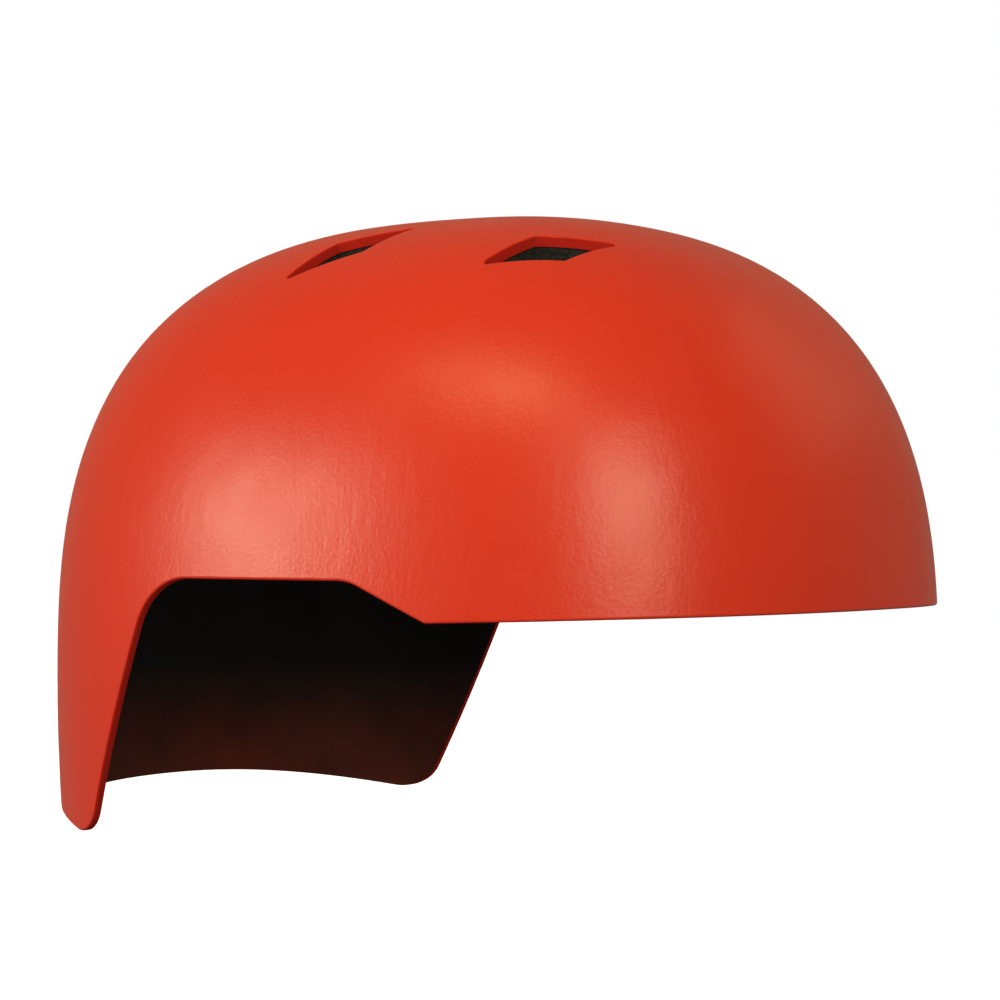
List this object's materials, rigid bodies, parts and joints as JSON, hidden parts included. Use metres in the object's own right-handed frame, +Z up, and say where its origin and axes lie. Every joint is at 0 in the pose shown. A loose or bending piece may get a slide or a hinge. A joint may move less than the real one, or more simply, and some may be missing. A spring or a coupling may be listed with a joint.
{
  "type": "climbing helmet",
  "caption": "Vented hard-shell climbing helmet with a foam liner, a tilting headband cradle tightened by a geared knob, and a chin strap folded up inside.",
  "frame": {"origin": "centre of the head opening, level with the shell's lower edge at the front corners of the ear openings", "axes": "+X to the wearer's left, -Y to the front, +Z up; the head enters along +Z"},
  "size_m": [0.2132, 0.28, 0.1896],
  "materials": {
    "shell_paint": "satin",
    "liner_foam": "matte",
    "pad_fabric": "matte",
    "hook_tape": "matte",
    "band_plastic": "satin",
    "anchor_plastic": "matte",
    "steel": "satin",
    "knob_plastic": "satin",
    "gear_plastic": "satin",
    "webbing": "matte",
    "buckle_plastic": "satin"
  },
  "bodies": {
    "helmet": {"outer_shell": "shell_paint", "crown_liner": "liner_foam", "brow_liner": "liner_foam", "crown_pad_front": "pad_fabric", "crown_pad_rear": "pad_fabric", "pad_hook_discs": "hook_tape", "side_anchor_left": "anchor_plastic", "side_anchor_right": "anchor_plastic", "front_anchor_left": "anchor_plastic", "front_anchor_right": "anchor_plastic", "side_pins": "steel", "brow_studs": "anchor_plastic", "headband": "band_plastic", "brow_pad": "pad_fabric"},
    "nape_cradle": {"adjuster_housing": "band_plastic", "adjuster_cover": "band_plastic", "adjuster_screws": "steel", "click_spring": "steel", "nape_pad": "pad_fabric"},
    "knob": {"adjuster_knob": "knob_plastic", "drive_pinion": "gear_plastic"},
    "arm_left": {"arm_left": "band_plastic"},
    "arm_right": {"arm_right": "band_plastic"},
    "chin_strap": {"strap_hanger_left": "buckle_plastic", "strap_hanger_right": "buckle_plastic", "strap_web_left": "webbing", "strap_web_right": "webbing", "buckle_socket": "buckle_plastic", "strap_keeper": "buckle_plastic"},
    "buckle": {"buckle_plug": "buckle_plastic"}
  },
  "joints": [
    {"name": "cradle_tilt", "type": "hinge", "parent": "helmet", "child": "nape_cradle", "pos_m": [0, -0.008, 0.022], "axis": [1, 0, 0], "range_deg": [-30, 0]},
    {"name": "size_knob", "type": "hinge", "parent": "nape_cradle", "child": "knob", "pos_m": [0, 0.114, 0.022], "axis": [0, -1, 0], "range_deg": [0, 71.6]},
    {"name": "arm_left_slide", "type": "slide", "parent": "nape_cradle", "child": "arm_left", "axis": [-1, 0, 0], "range_m": [0, 0.005]},
    {"name": "arm_right_slide", "type": "slide", "parent": "nape_cradle", "child": "arm_right", "axis": [1, 0, 0], "range_m": [0, 0.005]},
    {"name": "strap_swing", "type": "hinge", "parent": "helmet", "child": "chin_strap", "pos_m": [0, -0.008, 0.022], "axis": [1, 0, 0], "range_deg": [0, 180]},
    {"name": "buckle_release", "type": "slide", "parent": "chin_strap", "child": "buckle", "axis": [1, 0, 0], "range_m": [0, 0.017]}
  ],
  "couplings": [
    {"joint": "arm_left_slide", "follows": "size_knob", "m_per_rad": 0.004},
    {"joint": "arm_right_slide", "follows": "size_knob", "m_per_rad": 0.004}
  ]
}
